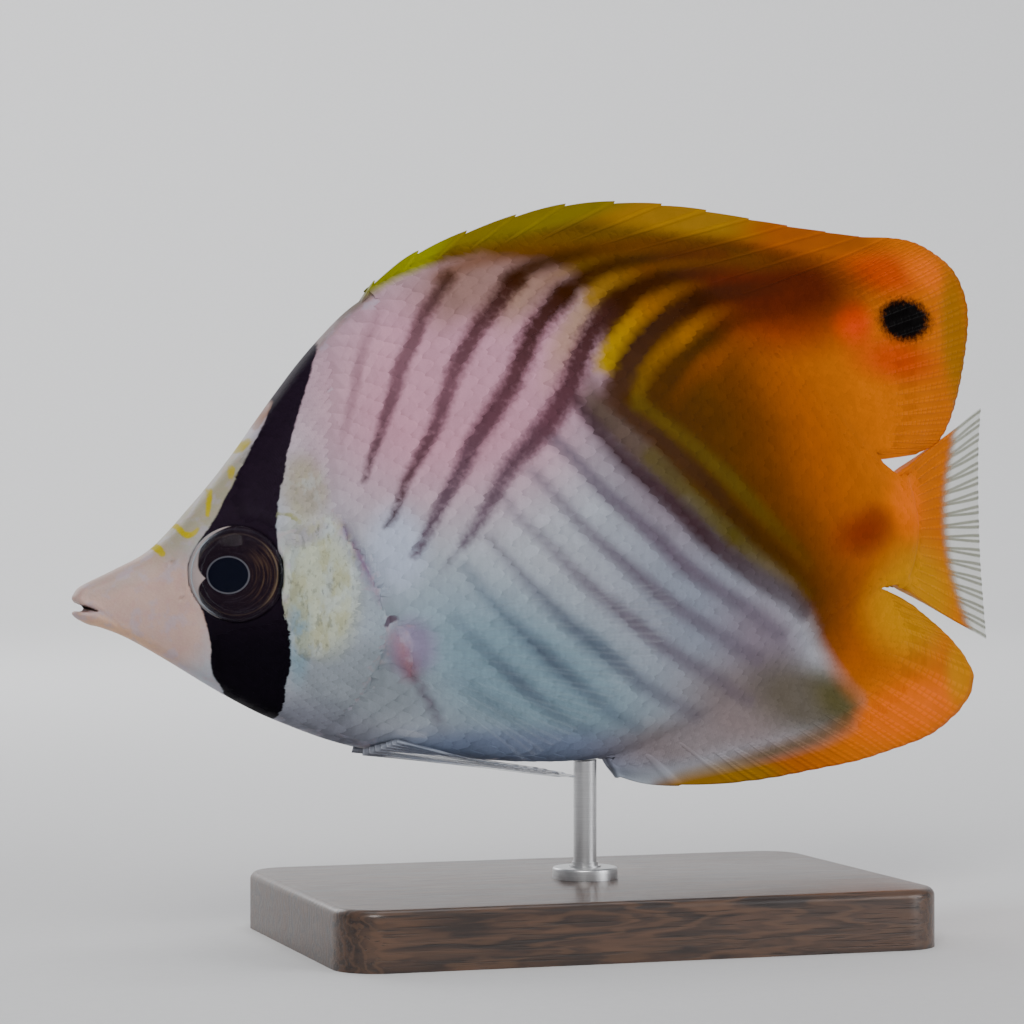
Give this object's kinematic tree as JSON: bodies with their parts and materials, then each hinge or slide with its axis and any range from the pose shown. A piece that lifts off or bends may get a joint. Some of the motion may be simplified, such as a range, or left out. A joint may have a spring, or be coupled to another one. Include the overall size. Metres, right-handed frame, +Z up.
{
  "type": "threadfin butterflyfish model on a display stand",
  "caption": "Still life-size butterflyfish with pointed snout, tall thin body and broad fins, tail turned aside, held by a rod on a flat base.",
  "frame": {"origin": "centre of the underside of the stand's base, below the foot of the rod", "axes": "-X the way the fish's head points, -Y to the fish's left side, +Z up; the tail turns towards +Y"},
  "size_m": [0.148, 0.0595, 0.1018],
  "materials": {
    "skin": "painted cast resin, pearly scales with dark bars",
    "fin": "painted cast resin, yellow to orange, ribbed by the fin rays",
    "clear_fin": "thin translucent cast resin with fine rays",
    "eye": "polished glass eye over a dark iris",
    "base": "dark stained hardwood, satin varnish",
    "rod": "satin turned steel"
  },
  "bodies": {
    "root": {"head": "skin", "lower_jaw": "skin", "eye_left": "eye", "eye_right": "eye", "torso": "skin", "tail_base": "skin", "dorsal_fin_spiny": "fin", "dorsal_fin_soft": "fin", "anal_fin": "fin", "caudal_fin": "fin", "pectoral_fin_left": "clear_fin", "pectoral_fin_right": "clear_fin", "pelvic_fin_left": "clear_fin", "pelvic_fin_right": "clear_fin", "stand_base": "base", "stand_rod": "rod"}
  },
  "joints": []
}
